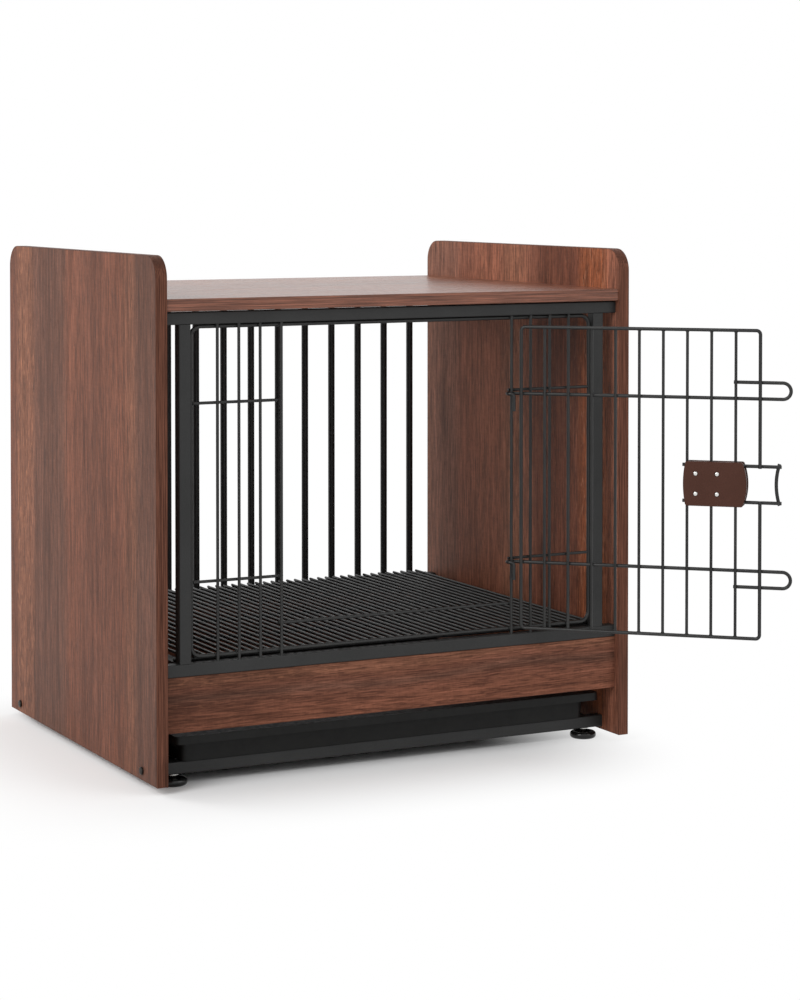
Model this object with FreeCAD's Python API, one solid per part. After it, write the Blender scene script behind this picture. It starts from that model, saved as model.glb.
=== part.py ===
import FreeCAD, Part
import math
import os

# Crate end table: two side panels and a table top over a steel frame, with a welded wire gate
# in front. Millimetres. X runs from the left panel's outer face, Y back from the panels' front
# edges and Z up from the panels' lower edges. Each finished piece is then moved so that the
# origin lies on the floor under the middle of the table.

# Boards
width = 656.0                # over the outer faces of the two side panels
depth = 530.5                # of a side panel
panel_height = 630.0
board = 15.0                 # thickness of every board
panel_corner = 28.0          # radius of a side panel's two upper corners
arris = 1.0                  # rounding along the boards' edges
top_drop = 51.5              # from the panels' upper edges down to the table's face
top_setback = 2.0            # of the table top behind the panels' front and back edges
front_apron_height = 67.0
rear_apron_height = 77.0
apron_setback = 10.0         # of each apron behind the panels' edges

# Square steel tube and the frames made of it
tube = 15.0
tube_wall = 1.2
tube_corner = 1.5
front_setback = 9.0          # front frame's face behind the panels' front edges
rear_setback = 11.2          # rear frame's face before the panels' back edges
floor_height = 142.5         # upper faces of the middle rails
top_rail_gap = 1.2           # top rails below the table top
post_gap = 18.5              # from a panel to the post or floor rail beside it
bar_count = 14               # round bars in the rear frame
bar_pitch = 42.1
bar_diameter = 9.5
base_height = 4.3            # undersides of the base rails
base_front_setback = 39.5
base_rear_setback = 31.5
base_side_gap = 17.5         # from a panel to the base side rail beside it

# Fixed wires of the gate
loop_wire = 5.0              # diameter of the wire loop round the gate
loop_bend = 12.5
loop_low_gap = 4.3           # loop above the middle rail
loop_high_gap = 0.3          # loop below the top rail
upright_wire = 3.7
upright_first = 32.8         # from the loop's side to the first upright
upright_pitch = 28.0
uprights_per_side = 4
sill_wire_diameter = 4.0
sill_height = 39.0           # sill wire above the middle rail
wire_end = 3.0               # a wire's end past the last wire that it is welded to

# Door, with sizes along it taken from the hinge wire's centre
door_wire = 4.4              # frame, crossbars, latch rods and bow
hinge_play = 1.1             # all round the hinge wire inside a hook
near_gap = 12.5              # hinge wire to the door frame's near side
far_gap = 5.2                # door frame's far side to the innermost left upright
door_low_gap = 8.4           # door frame's lower side above the middle rail
door_high_gap = 14.15        # door frame's upper side below the top rail
frame_bend = 5.0
door_upright_count = 9
upper_bar_drop = 84.75       # upper crossbar below the door frame's upper side
lower_bar_rise = 83.4        # lower crossbar above the door frame's lower side
bar_clearance = 0.4          # door crossbar below the fixed crossbar beside the hook
hook_bend = 4.5
hook_tail = 22.0             # hook's end below its crossbar
u_loop_reach = 34.4          # U-loop's end past the innermost left upright
u_loop_height = 20.2         # between the two runs of a U-loop
open_angle = 137.0           # how far the door stands open
latch_rod_spacing = 45.0
latch_rod_reach = 20.9       # latch rods' ends past the innermost left upright
rod_lap = 6.4                # latch rods' other ends past the last whole upright
bow_inset = 3.1              # bow's ends from the latch rods' ends
bow_depth = 4.0              # how far the bow's middle is drawn in
bow_overhang = 3.2           # bow's ends past the latch rods' centres

# Latch slider
plate_length = 79.4
plate_height = 55.4
plate_thickness = 4.0
plate_near_bulge = 3.0
plate_far_bulge = 5.4
plate_corner = 3.0
plate_bevel = 0.8
plate_rest_gap = 20.8        # plate's far end short of the innermost left upright
core_offset = 9.0            # core's near side from the plate's near end
core_length = 40.0
slide_clearance = 0.3
grip_width = 9.0
grip_height = 36.0
grip_proud = 6.0
latch_screw_inset = 6.6      # in from the core's ends
latch_screw_spacing = 25.2   # upwards
latch_screw_head = 5.7
latch_screw_head_height = 1.7
latch_screw_shank = 3.0
latch_screw_length = 11.0
latch_screw_recess = 0.9

# Floor grille
grille_rod = 3.6
grille_cross_wire = 4.0
grille_rod_count = 47
grille_cross_count = 5
grille_rod_inset = 14.5      # outermost rods in from the cross wires' ends
grille_end_gap = 1.0         # rods' ends from the front and rear frames
grille_cross_inset = 4.0     # first cross wire in from the rods' ends

# Tray
tray_side_gap = 17.5         # from a panel to the tray's lip
tray_front_setback = 19.0    # tray's lip behind the panels' front edges
tray_rear_gap = 3.0          # from the rear apron
tray_height = 34.4
tray_wall = 2.2
tray_flange = 13.0           # from the lip's outside in to the walls, but at the front
tray_front_flange = 16.5
tray_lip = 9.8
tray_draft = 1.5             # how far each wall leans in by the bottom
tray_corner = 8.0            # upright corners of the walls and of the lip
tray_seat_gap = 0.3

# Feet
floor_gap = 9.0              # panels' lower edges above the floor
pad_diameter = 34.0
pad_height = 8.6
pad_rim = 3.6                # rounding of the pad's upper and lower edges
pad_dish = 3.0
pad_dish_diameter = 22.0
pad_dish_slope = 2.0         # dish's floor in from its rim
stud_diameter = 8.0
stud_clearance = 0.05
stud_sunk = 6.6              # stud's end below its pad's top
stud_top_gap = 0.3           # stud below the base rail's upper wall
foot_nut_diameter = 11.0
foot_nut_flange = 14.0
foot_nut_flange_height = 0.8

# Fixings
fit = 0.1                    # radial clearance of pins, dowels, bolts and cams in their holes
plug_clearance = 0.15        # plug or nut inside a tube, each side
plug_length = 14.0
pin_diameter = 6.0
pin_length = 8.0
bolt_diameter = 6.0
bolt_head = 9.5
bolt_head_height = 2.6
bolt_slot = 1.2              # width of the driver slot across the head
bolt_slot_length = 5.7
bolt_slot_depth = 1.3
bolt_end_gap = 1.0           # bolt's end short of the nut's inner face
cam_diameter = 15.0
cam_height = 12.4
cam_slot = 1.6               # width of the driver slot
cam_slot_length = 9.0
cam_slot_depth = 0.8
cam_setback = 24.0           # cam's centre from the board's end
cam_bolt_diameter = 6.0
cam_bolt_sunk = 10.0         # in the side panel
cam_neck = 4.0
cam_head_length = 3.0
dowel_diameter = 8.0
dowel_length = 30.0
dowel_sunk = 10.0            # in the side panel
dowel_spacing = 32.0         # from the cam bolt beside it
apron_cam_drop = 22.0        # aprons' cams below their upper edges
apron_dowel_spacing = 24.0   # from the cam above it
top_cam_inset = 90.0         # table top's cams from its front and back edges

# What follows from the sizes above
inner_left = board
inner_right = width - board
top_face = panel_height - top_drop
top_underside = top_face - board
top_rail_low = top_underside - top_rail_gap - tube
mid_rail_low = floor_height - tube
front_face = front_setback
front_back = front_face + tube
rear_back = depth - rear_setback
rear_front = rear_back - tube
post_left = inner_left + post_gap
apron_high = mid_rail_low
base_front = base_front_setback
base_rear = depth - base_rear_setback - tube
base_middle = base_height + tube / 2
base_top = base_height + tube
base_left = inner_left + base_side_gap
gate_middle = front_face + tube / 2
loop_radius = loop_wire / 2
loop_left = post_left + tube + loop_radius
loop_low = floor_height + loop_low_gap + loop_radius
loop_high = top_rail_low - loop_high_gap - loop_radius
upright_radius = upright_wire / 2
wire_plane = gate_middle - loop_radius          # rear of the uprights, front of what they carry
upright_y = wire_plane - upright_radius
left_uprights = [loop_left + upright_first + i * upright_pitch for i in range(uprights_per_side)]
latch_x = left_uprights[-1]
hinge_x = width - latch_x
doorway = hinge_x - latch_x
sill_radius = sill_wire_diameter / 2

door_radius = door_wire / 2
hook_radius = upright_radius + hinge_play + door_radius
bar_y = upright_y - hook_radius                 # crossbars, latch rods
frame_y = bar_y + 2 * door_radius
door_upright_y = bar_y + door_radius + upright_radius
bow_y = bar_y - 2 * door_radius
frame_near = near_gap
frame_far = doorway - far_gap
frame_low = floor_height + door_low_gap
frame_high = top_rail_low - door_high_gap
upper_bar = frame_high - upper_bar_drop
lower_bar = frame_low + lower_bar_rise
fixed_bar_rise = door_radius + bar_clearance + upright_radius
door_pitch = (frame_far - frame_near) / (door_upright_count + 1)
door_uprights = [frame_near + (i + 1) * door_pitch for i in range(door_upright_count)]
latch_middle = (frame_low + frame_high) / 2
upper_rod = latch_middle + latch_rod_spacing / 2
lower_rod = latch_middle - latch_rod_spacing / 2
rod_far = doorway + latch_rod_reach
plate_far = doorway - plate_rest_gap
plate_near = plate_far - plate_length
core_near = plate_near + core_offset
core_far = core_near + core_length
whole_uprights = [r for r in door_uprights if r + upright_radius + slide_clearance < core_near]
rod_near = whole_uprights[-1] - rod_lap

grille_cross_z = floor_height + grille_cross_wire / 2
grille_rod_z = floor_height + grille_cross_wire + grille_rod / 2
pad_low = -floor_gap
pad_high = pad_low + pad_height
stud_low = pad_high - stud_sunk
foot_x = base_left + tube / 2
foot_places = {
    "front_left": (foot_x, base_front + tube / 2),
    "front_right": (width - foot_x, base_front + tube / 2),
    "rear_left": (foot_x, base_rear + tube / 2),
    "rear_right": (width - foot_x, base_rear + tube / 2),
}
end_pins = [
    (front_face + tube / 2, top_rail_low + tube / 2),
    (front_face + tube / 2, mid_rail_low + tube / 2),
    (rear_front + tube / 2, top_rail_low + tube / 2),
    (rear_front + tube / 2, mid_rail_low + tube / 2),
]
base_bolts = [(base_front + tube / 2, base_middle), (base_rear + tube / 2, base_middle)]
top_middle = top_underside + board / 2
apron_cam_z = apron_high - apron_cam_drop
front_apron_y = apron_setback + board / 2
rear_apron_y = depth - apron_setback - board / 2
top_cams = [top_setback + top_cam_inset, depth - top_setback - top_cam_inset]


def vector(x, y, z):
    return FreeCAD.Vector(x, y, z)


along_x = vector(1, 0, 0)
along_y = vector(0, 1, 0)
along_z = vector(0, 0, 1)


# Shared shapes

def block(x0, x1, y0, y1, z0, z1):
    return Part.makeBox(x1 - x0, y1 - y0, z1 - z0, vector(x0, y0, z0))


def rod(start, end, diameter):
    run = end - start
    return Part.makeCylinder(diameter / 2, run.Length, start, run)


def mirrored(shape):
    # the same piece on the other side of the table
    return shape.mirror(vector(width / 2, 0, 0), along_x)


def edges_along(shape, axis):
    found = []
    for edge in shape.Edges:
        if isinstance(edge.Curve, Part.Line) and abs(edge.Curve.Direction.dot(axis)) > 0.999:
            found.append(edge)
    return found


def square_tube(axis, x0, x1, y0, y1, z0, z1):
    # hollow square tube with open ends, running along the axis
    outer = block(x0, x1, y0, y1, z0, z1)
    outer = outer.makeFillet(tube_corner, edges_along(outer, axis))
    inset = [0 if axis[i] else tube_wall for i in range(3)]
    inner = block(x0 + inset[0], x1 - inset[0], y0 + inset[1], y1 - inset[1],
                  z0 + inset[2], z1 - inset[2])
    return outer.cut(inner)


def arc_between(start, middle, end):
    return Part.Arc(start, middle, end).toShape()


def swept(edges, diameter):
    # round wire along a path of tangent edges
    path = Part.Wire(edges)
    first = edges[0]
    start = first.valueAt(first.FirstParameter)
    heading = first.tangentAt(first.FirstParameter)
    ring = Part.Wire([Part.Circle(start, heading, diameter / 2).toShape()])
    return path.makePipeShell([ring], True, True)


def bent_path(points, bend, closed=False):
    # straight runs through the points, with an arc of the bend's radius at each corner
    count = len(points)
    corners = range(count) if closed else range(1, count - 1)
    bends = {}
    for i in corners:
        corner = points[i]
        back = (points[i - 1] - corner).normalize()
        ahead = (points[(i + 1) % count] - corner).normalize()
        half = back.getAngle(ahead) / 2
        setback = bend / math.tan(half)
        inward = (back + ahead).normalize()
        middle = corner + inward * (bend / math.sin(half) - bend)
        bends[i] = (corner + back * setback, middle, corner + ahead * setback)
    edges = []
    for i in range(count if closed else count - 1):
        j = (i + 1) % count
        start = bends[i][2] if i in bends else points[i]
        end = bends[j][0] if j in bends else points[j]
        edges.append(Part.LineSegment(start, end).toShape())
        if j in bends:
            edges.append(arc_between(*bends[j]))
    return edges


# Boards

def panel_drilling():
    # holes bored in the left panel from its inner face, and through it for the base bolts
    tools = []
    for y, z in end_pins:
        tools.append(rod(vector(board - pin_length - fit, y, z), vector(board + 1, y, z),
                         pin_diameter + 2 * fit))
    for y, z in base_bolts:
        tools.append(rod(vector(-1, y, z), vector(board + 1, y, z), bolt_diameter + 2 * fit))
    for y, z, away in board_fixings():
        tools.append(rod(vector(board - cam_bolt_sunk, y, z), vector(board + 1, y, z),
                         cam_bolt_diameter))
    for y, z in dowel_places():
        tools.append(rod(vector(board - dowel_sunk - fit, y, z), vector(board + 1, y, z),
                         dowel_diameter + 2 * fit))
    return tools


def board_fixings():
    # place of each cam bolt on a side panel, and of the dowel beside it along Y or up
    places = []
    for y in top_cams:
        places.append((y, top_middle, (math.copysign(dowel_spacing, depth / 2 - y), 0)))
    for y in (front_apron_y, rear_apron_y):
        places.append((y, apron_cam_z, (0, -apron_dowel_spacing)))
    return places


def dowel_places():
    return [(y + away[0], z + away[1]) for y, z, away in board_fixings()]


def left_side_panel():
    outline = block(0, board, 0, depth, 0, panel_height)
    corners = [e for e in edges_along(outline, along_x) if e.CenterOfMass.z > panel_height / 2]
    panel = outline.makeFillet(panel_corner, corners)
    rims = [e for e in panel.Edges if e.BoundBox.XLength < arris]
    panel = panel.makeFillet(arris, rims)
    for tool in panel_drilling():
        panel = panel.cut(tool)
    return panel


def cam_tools(y, z, facing):
    # in a board's left end: bore for the cam from the hidden face, hole for its bolt
    centre = vector(inner_left + cam_setback, y, z)
    start = centre + facing * (board / 2)
    bore = rod(start + facing, start - facing * (cam_height + fit), cam_diameter + 2 * fit)
    hole = rod(vector(inner_left - 1, y, z), centre, cam_bolt_diameter + 2 * fit)
    return [bore, hole]


def dowel_hole(y, z):
    end = inner_left + dowel_length - dowel_sunk + fit
    return rod(vector(inner_left - 1, y, z), vector(end, y, z), dowel_diameter + 2 * fit)


def drilled(shape, facing):
    # a board with the fixings in both its ends that lie inside it
    box = shape.BoundBox
    tools = []
    for y, z, away in board_fixings():
        if box.YMin < y < box.YMax and box.ZMin < z < box.ZMax:
            tools += cam_tools(y, z, facing)
            tools.append(dowel_hole(y + away[0], z + away[1]))
    for tool in tools:
        shape = shape.cut(tool)
        shape = shape.cut(mirrored(tool))
    return shape


def table_top():
    plain = block(inner_left, inner_right, top_setback, depth - top_setback,
                  top_underside, top_face)
    plain = plain.makeFillet(arris, edges_along(plain, along_x))
    return drilled(plain, vector(0, 0, -1))


def apron(middle, height, facing):
    plain = block(inner_left, inner_right, middle - board / 2, middle + board / 2,
                  apron_high - height, apron_high)
    plain = plain.makeFillet(arris, edges_along(plain, along_x))
    return drilled(plain, facing)


# Steel frames

def cross_rail(y, z):
    return square_tube(along_x, inner_left, inner_right, y, y + tube, z, z + tube)


def base_rail(y):
    # with a hole in its lower wall for each foot's nut
    rail = cross_rail(y, base_height)
    for x in (foot_x, width - foot_x):
        middle = y + tube / 2
        rail = rail.cut(rod(vector(x, middle, base_height - 1),
                            vector(x, middle, base_middle), foot_nut_diameter + 2 * fit))
    return rail


def side_rail(x, y0, y1, z):
    return square_tube(along_y, x, x + tube, y0, y1, z, z + tube)


def front_left_post():
    return square_tube(along_z, post_left, post_left + tube, front_face, front_back,
                       floor_height, top_rail_low)


def rear_bars():
    first = width / 2 - bar_pitch * (bar_count - 1) / 2
    middle = rear_front + tube / 2
    bars = []
    for i in range(bar_count):
        x = first + i * bar_pitch
        bars.append(rod(vector(x, middle, floor_height), vector(x, middle, top_rail_low),
                        bar_diameter))
    return bars


# Fixed wires of the gate

def gate_loop():
    corners = [
        vector(loop_left, gate_middle, loop_low),
        vector(width - loop_left, gate_middle, loop_low),
        vector(width - loop_left, gate_middle, loop_high),
        vector(loop_left, gate_middle, loop_high),
    ]
    return swept(bent_path(corners, loop_bend, closed=True), loop_wire)


def left_fixed_uprights():
    return [rod(vector(x, upright_y, floor_height), vector(x, upright_y, top_rail_low),
                upright_wire) for x in left_uprights]


def fixed_crossbars():
    y = wire_plane + upright_radius
    bars = []
    for door_bar in (upper_bar, lower_bar):
        z = door_bar + fixed_bar_rise
        left = rod(vector(loop_left + loop_radius, y, z), vector(latch_x + wire_end, y, z),
                   upright_wire)
        bars += [left, mirrored(left)]
    return bars


def sill_wire():
    y = wire_plane + sill_radius
    z = floor_height + sill_height
    return rod(vector(latch_x - wire_end, y, z), vector(hinge_x + wire_end, y, z),
               sill_wire_diameter)


# Floor grille

def evenly(first, last, count):
    return [first + (last - first) * i / (count - 1) for i in range(count)]


def floor_grille_rods():
    first = post_left + grille_rod_inset
    y0 = front_back + grille_end_gap
    y1 = rear_front - grille_end_gap
    return [rod(vector(x, y0, grille_rod_z), vector(x, y1, grille_rod_z), grille_rod)
            for x in evenly(first, width - first, grille_rod_count)]


def floor_grille_crossbars():
    first = front_back + grille_end_gap + grille_cross_inset
    last = rear_front - grille_end_gap - grille_cross_inset
    return [rod(vector(post_left, y, grille_cross_z), vector(width - post_left, y, grille_cross_z),
                grille_cross_wire) for y in evenly(first, last, grille_cross_count)]


# Door, drawn shut and then swung open

def at(reach, y, z):
    return vector(hinge_x - reach, y, z)


def swung(shape):
    turned = shape.copy()
    turned.rotate(vector(hinge_x, upright_y, 0), along_z, open_angle)
    return turned


def door_frame():
    # its far side is open between the latch rods
    points = [
        at(frame_far, frame_y, upper_rod - door_radius),
        at(frame_far, frame_y, frame_high),
        at(frame_near, frame_y, frame_high),
        at(frame_near, frame_y, frame_low),
        at(frame_far, frame_y, frame_low),
        at(frame_far, frame_y, lower_rod + door_radius),
    ]
    return swept(bent_path(points, frame_bend), door_wire)


def door_upright_wires():
    # those beyond the last whole one stop at the latch rods, to leave the slider its way
    low = frame_low + door_radius
    high = frame_high - door_radius
    wires = []
    for reach in door_uprights:
        if reach in whole_uprights:
            runs = [(low, high)]
        else:
            runs = [(low, lower_rod + door_radius), (upper_rod - door_radius, high)]
        for z0, z1 in runs:
            wires.append(rod(at(reach, door_upright_y, z0), at(reach, door_upright_y, z1),
                             upright_wire))
    return wires


def door_crossbar(z, upward):
    # from its tail round the hinge wire, along the door and back in a U-loop
    inner_y = upright_y + hook_radius
    tail = at(hook_bend, inner_y, z - hook_tail)
    bend_low = at(hook_bend, inner_y, z - hook_bend)
    bend_end = at(0, inner_y, z)
    slant = hook_bend * (1 - math.sqrt(0.5))
    bend_middle = at(slant + hook_bend * (2 * math.sqrt(0.5) - 1), inner_y, z - slant)
    hook_far = at(-hook_radius, upright_y, z)
    hook_end = at(0, bar_y, z)
    half = u_loop_height / 2
    turn = doorway + u_loop_reach - door_radius - half
    rise = half if upward else -half
    edges = [
        Part.LineSegment(tail, bend_low).toShape(),
        arc_between(bend_low, bend_middle, bend_end),
        arc_between(bend_end, hook_far, hook_end),
        Part.LineSegment(hook_end, at(turn, bar_y, z)).toShape(),
        arc_between(at(turn, bar_y, z), at(turn + half, bar_y, z + rise),
                    at(turn, bar_y, z + 2 * rise)),
        Part.LineSegment(at(turn, bar_y, z + 2 * rise),
                         at(door_uprights[-1] - wire_end, bar_y, z + 2 * rise)).toShape(),
    ]
    return swept(edges, door_wire)


def latch_rods():
    return [rod(at(rod_near, bar_y, z), at(rod_far, bar_y, z), door_wire)
            for z in (lower_rod, upper_rod)]


def latch_bow():
    reach = rod_far - bow_inset
    path = arc_between(at(reach, bow_y, lower_rod - bow_overhang),
                       at(reach - bow_depth, bow_y, latch_middle),
                       at(reach, bow_y, upper_rod + bow_overhang))
    return swept([path], door_wire)


# Latch slider

def barrel_plate(y0, y1):
    # straight above and below, with both ends curved outwards
    half = plate_height / 2
    low = latch_middle - half
    high = latch_middle + half
    near = plate_near + plate_near_bulge
    far = plate_far - plate_far_bulge
    corners = [at(near, y0, low), at(near, y0, high), at(far, y0, high), at(far, y0, low)]
    edges = [
        arc_between(corners[0], at(plate_near, y0, latch_middle), corners[1]),
        Part.LineSegment(corners[1], corners[2]).toShape(),
        arc_between(corners[2], at(plate_far, y0, latch_middle), corners[3]),
        Part.LineSegment(corners[3], corners[0]).toShape(),
    ]
    plate = Part.Face(Part.Wire(edges)).extrude(vector(0, y1 - y0, 0))
    return plate.makeFillet(plate_corner, edges_along(plate, along_y))


def rim_edges(shape, y):
    return [e for e in shape.Edges if abs(e.BoundBox.YMin - y) < 1e-4
            and abs(e.BoundBox.YMax - y) < 1e-4]


core_gap = door_radius + slide_clearance
core_low = lower_rod + core_gap
core_high = upper_rod - core_gap
outer_plate_inner = bar_y - door_radius - slide_clearance
inner_plate_front = wire_plane + slide_clearance
inner_plate_back = inner_plate_front + plate_thickness


def latch_screw_places():
    places = []
    for reach in (core_near + latch_screw_inset, core_far - latch_screw_inset):
        for rise in (-latch_screw_spacing / 2, latch_screw_spacing / 2):
            places.append((reach, latch_middle + rise))
    return places


def latch_inner_plate():
    plate = barrel_plate(inner_plate_front, inner_plate_back)
    plate = plate.makeChamfer(plate_bevel, rim_edges(plate, inner_plate_back))
    for reach, z in latch_screw_places():
        shank = rod(at(reach, inner_plate_front - 1, z), at(reach, inner_plate_back + 1, z),
                    latch_screw_shank + 2 * fit)
        recess = rod(at(reach, inner_plate_back - latch_screw_recess, z),
                     at(reach, inner_plate_back + 1, z), latch_screw_head + 4 * fit)
        plate = plate.cut(shank).cut(recess)
    return plate


def latch_outer_plate():
    # with the core that runs between the rods and a thumb grip
    outer_face = outer_plate_inner - plate_thickness
    plate = barrel_plate(outer_face, outer_plate_inner)
    plate = plate.makeChamfer(plate_bevel, rim_edges(plate, outer_face))
    core = block(hinge_x - core_far, hinge_x - core_near, outer_plate_inner, inner_plate_front,
                 core_low, core_high)
    grip_x = hinge_x - (core_near + core_far) / 2
    grip = block(grip_x - grip_width / 2, grip_x + grip_width / 2,
                 outer_face - grip_proud, outer_face + plate_thickness / 2,
                 latch_middle - grip_height / 2, latch_middle + grip_height / 2)
    grip = grip.makeFillet(grip_width / 4, rim_edges(grip, outer_face - grip_proud))
    whole = plate.fuse(core).fuse(grip)
    pilot_end = inner_plate_back - latch_screw_recess - latch_screw_length - fit
    for reach, z in latch_screw_places():
        whole = whole.cut(rod(at(reach, inner_plate_front + 1, z), at(reach, pilot_end, z),
                              latch_screw_shank))
    return whole.removeSplitter()


def latch_screws():
    seat = inner_plate_back - latch_screw_recess
    screws = []
    for reach, z in latch_screw_places():
        shank = rod(at(reach, seat, z), at(reach, seat - latch_screw_length, z),
                    latch_screw_shank)
        head = rod(at(reach, seat, z), at(reach, seat + latch_screw_head_height, z),
                   latch_screw_head)
        crown = rim_edges(head, seat + latch_screw_head_height)
        head = head.makeFillet(latch_screw_head_height / 2, crown)
        screws.append(shank.fuse(head).removeSplitter())
    return screws


# Tray

def tray_outline(front_inset, inset, z, corner):
    # level outline inside the lip's outside
    x0 = inner_left + tray_side_gap + inset
    x1 = width - x0
    y0 = tray_front_setback + front_inset
    y1 = depth - apron_setback - board - tray_rear_gap - inset
    corners = [vector(x0, y0, z), vector(x1, y0, z), vector(x1, y1, z), vector(x0, y1, z)]
    return Part.Wire(bent_path(corners, corner, closed=True))


def tray_body():
    low = base_top + tray_seat_gap
    high = low + tray_height
    flange_low = high - tray_wall

    def cup(shrink, z0):
        corner = tray_corner - shrink
        lean = shrink + tray_draft
        lower = tray_outline(tray_front_flange + lean, tray_flange + lean, z0, corner)
        upper = tray_outline(tray_front_flange + shrink, tray_flange + shrink, high, corner)
        return Part.makeLoft([lower, upper], True, True)

    outer = cup(0, low)
    inner = cup(tray_wall, low + tray_wall)
    rim = Part.Face(tray_outline(0, 0, flange_low, tray_corner)).extrude(
        vector(0, 0, tray_wall))
    skirt = Part.Face(tray_outline(0, 0, high - tray_lip, tray_corner)).extrude(
        vector(0, 0, tray_lip))
    hollow = Part.Face(tray_outline(tray_wall, tray_wall, high - tray_lip,
                                    tray_corner - tray_wall))
    skirt = skirt.cut(hollow.extrude(vector(0, 0, tray_lip)))
    body = outer.fuse(rim).fuse(skirt)
    return body.cut(inner).removeSplitter()


# Feet

def foot_pad(x, y):
    pad = rod(vector(x, y, pad_low), vector(x, y, pad_high), pad_diameter)
    pad = pad.makeFillet(pad_rim, [e for e in pad.Edges if isinstance(e.Curve, Part.Circle)])
    dish = Part.makeCone(pad_dish_diameter / 2 - pad_dish_slope, pad_dish_diameter / 2, pad_dish,
                         vector(x, y, pad_high - pad_dish), along_z)
    bore = rod(vector(x, y, stud_low), vector(x, y, pad_high + 1), stud_diameter)
    return pad.cut(dish).cut(bore)


def foot_stud(x, y):
    return rod(vector(x, y, stud_low), vector(x, y, base_top - tube_wall - stud_top_gap),
               stud_diameter)


def foot_nuts():
    nuts = []
    for x, y in foot_places.values():
        body = rod(vector(x, y, base_height), vector(x, y, base_top - tube_wall - stud_top_gap),
                   foot_nut_diameter)
        flange = rod(vector(x, y, base_height - foot_nut_flange_height),
                     vector(x, y, base_height), foot_nut_flange)
        bore = rod(vector(x, y, base_height - 2), vector(x, y, base_top),
                   stud_diameter + 2 * stud_clearance)
        nuts.append(body.fuse(flange).cut(bore).removeSplitter())
    return nuts


# Fixings

def both_ends(shapes):
    return shapes + [mirrored(shape) for shape in shapes]


def tube_filler(y, z):
    half = tube / 2 - tube_wall - plug_clearance
    return block(inner_left, inner_left + plug_length, y - half, y + half, z - half, z + half)


def rail_end_plugs():
    plugs = []
    for y, z in end_pins:
        pin = rod(vector(inner_left - pin_length, y, z), vector(inner_left + 1, y, z),
                  pin_diameter)
        plugs.append(tube_filler(y, z).fuse(pin))
    return both_ends(plugs)


def base_rail_nuts():
    nuts = []
    for y, z in base_bolts:
        bore = rod(vector(inner_left - 1, y, z), vector(inner_left + plug_length + 1, y, z),
                   bolt_diameter)
        nuts.append(tube_filler(y, z).cut(bore))
    return both_ends(nuts)


def panel_bolts():
    bolts = []
    for y, z in base_bolts:
        shank = rod(vector(0, y, z), vector(inner_left + plug_length - bolt_end_gap, y, z),
                    bolt_diameter)
        head = rod(vector(0, y, z), vector(-bolt_head_height, y, z), bolt_head)
        crown = [e for e in head.Edges if e.BoundBox.XMax < -bolt_head_height / 2]
        head = head.makeFillet(bolt_head_height / 2, crown)
        slot = block(-bolt_head_height - 1, bolt_slot_depth - bolt_head_height,
                     y - bolt_slot / 2, y + bolt_slot / 2,
                     z - bolt_slot_length / 2, z + bolt_slot_length / 2)
        bolts.append(shank.fuse(head).cut(slot).removeSplitter())
    return both_ends(bolts)


def cam_bolts():
    # threaded end in the side panel, thin neck and a head held in the cam
    bolts = []
    for y, z, away in board_fixings():
        centre = inner_left + cam_setback
        neck_start = centre - cam_diameter / 2 - fit
        thick = rod(vector(inner_left - cam_bolt_sunk, y, z), vector(neck_start, y, z),
                    cam_bolt_diameter)
        neck = rod(vector(neck_start, y, z), vector(centre, y, z), cam_neck)
        head = rod(vector(centre - cam_head_length, y, z), vector(centre, y, z),
                   cam_bolt_diameter)
        bolts.append(thick.fuse(neck).fuse(head).removeSplitter())
    return both_ends(bolts)


def cam_lock(y, z, facing):
    # drum with a driver slot, open on one side for the bolt's head
    centre = vector(inner_left + cam_setback, y, z)
    start = centre + facing * (board / 2)
    drum = rod(start, start - facing * cam_height, cam_diameter)
    head_room = cam_bolt_diameter / 2 + fit
    cavity = rod(centre - along_x * (cam_head_length + fit), centre + along_x * fit,
                 2 * head_room)
    neck_way = rod(centre - along_x * cam_diameter, centre, cam_neck + 2 * fit)
    slot = block(-cam_slot_length / 2, cam_slot_length / 2, -cam_slot / 2, cam_slot / 2,
                 -cam_slot_depth, cam_slot_depth)
    if abs(facing.y) > 0.5:
        slot.rotate(vector(0, 0, 0), along_x, 90)
    slot.translate(start)
    return drum.cut(cavity).cut(neck_way).cut(slot)


def cam_locks():
    locks = []
    for y in top_cams:
        locks.append(cam_lock(y, top_middle, vector(0, 0, -1)))
    locks.append(cam_lock(front_apron_y, apron_cam_z, along_y))
    locks.append(cam_lock(rear_apron_y, apron_cam_z, vector(0, -1, 0)))
    return both_ends(locks)


def dowels():
    start = inner_left - dowel_sunk
    pegs = [rod(vector(start, y, z), vector(start + dowel_length, y, z), dowel_diameter)
            for y, z in dowel_places()]
    return both_ends(pegs)


# Every piece by name

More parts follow.
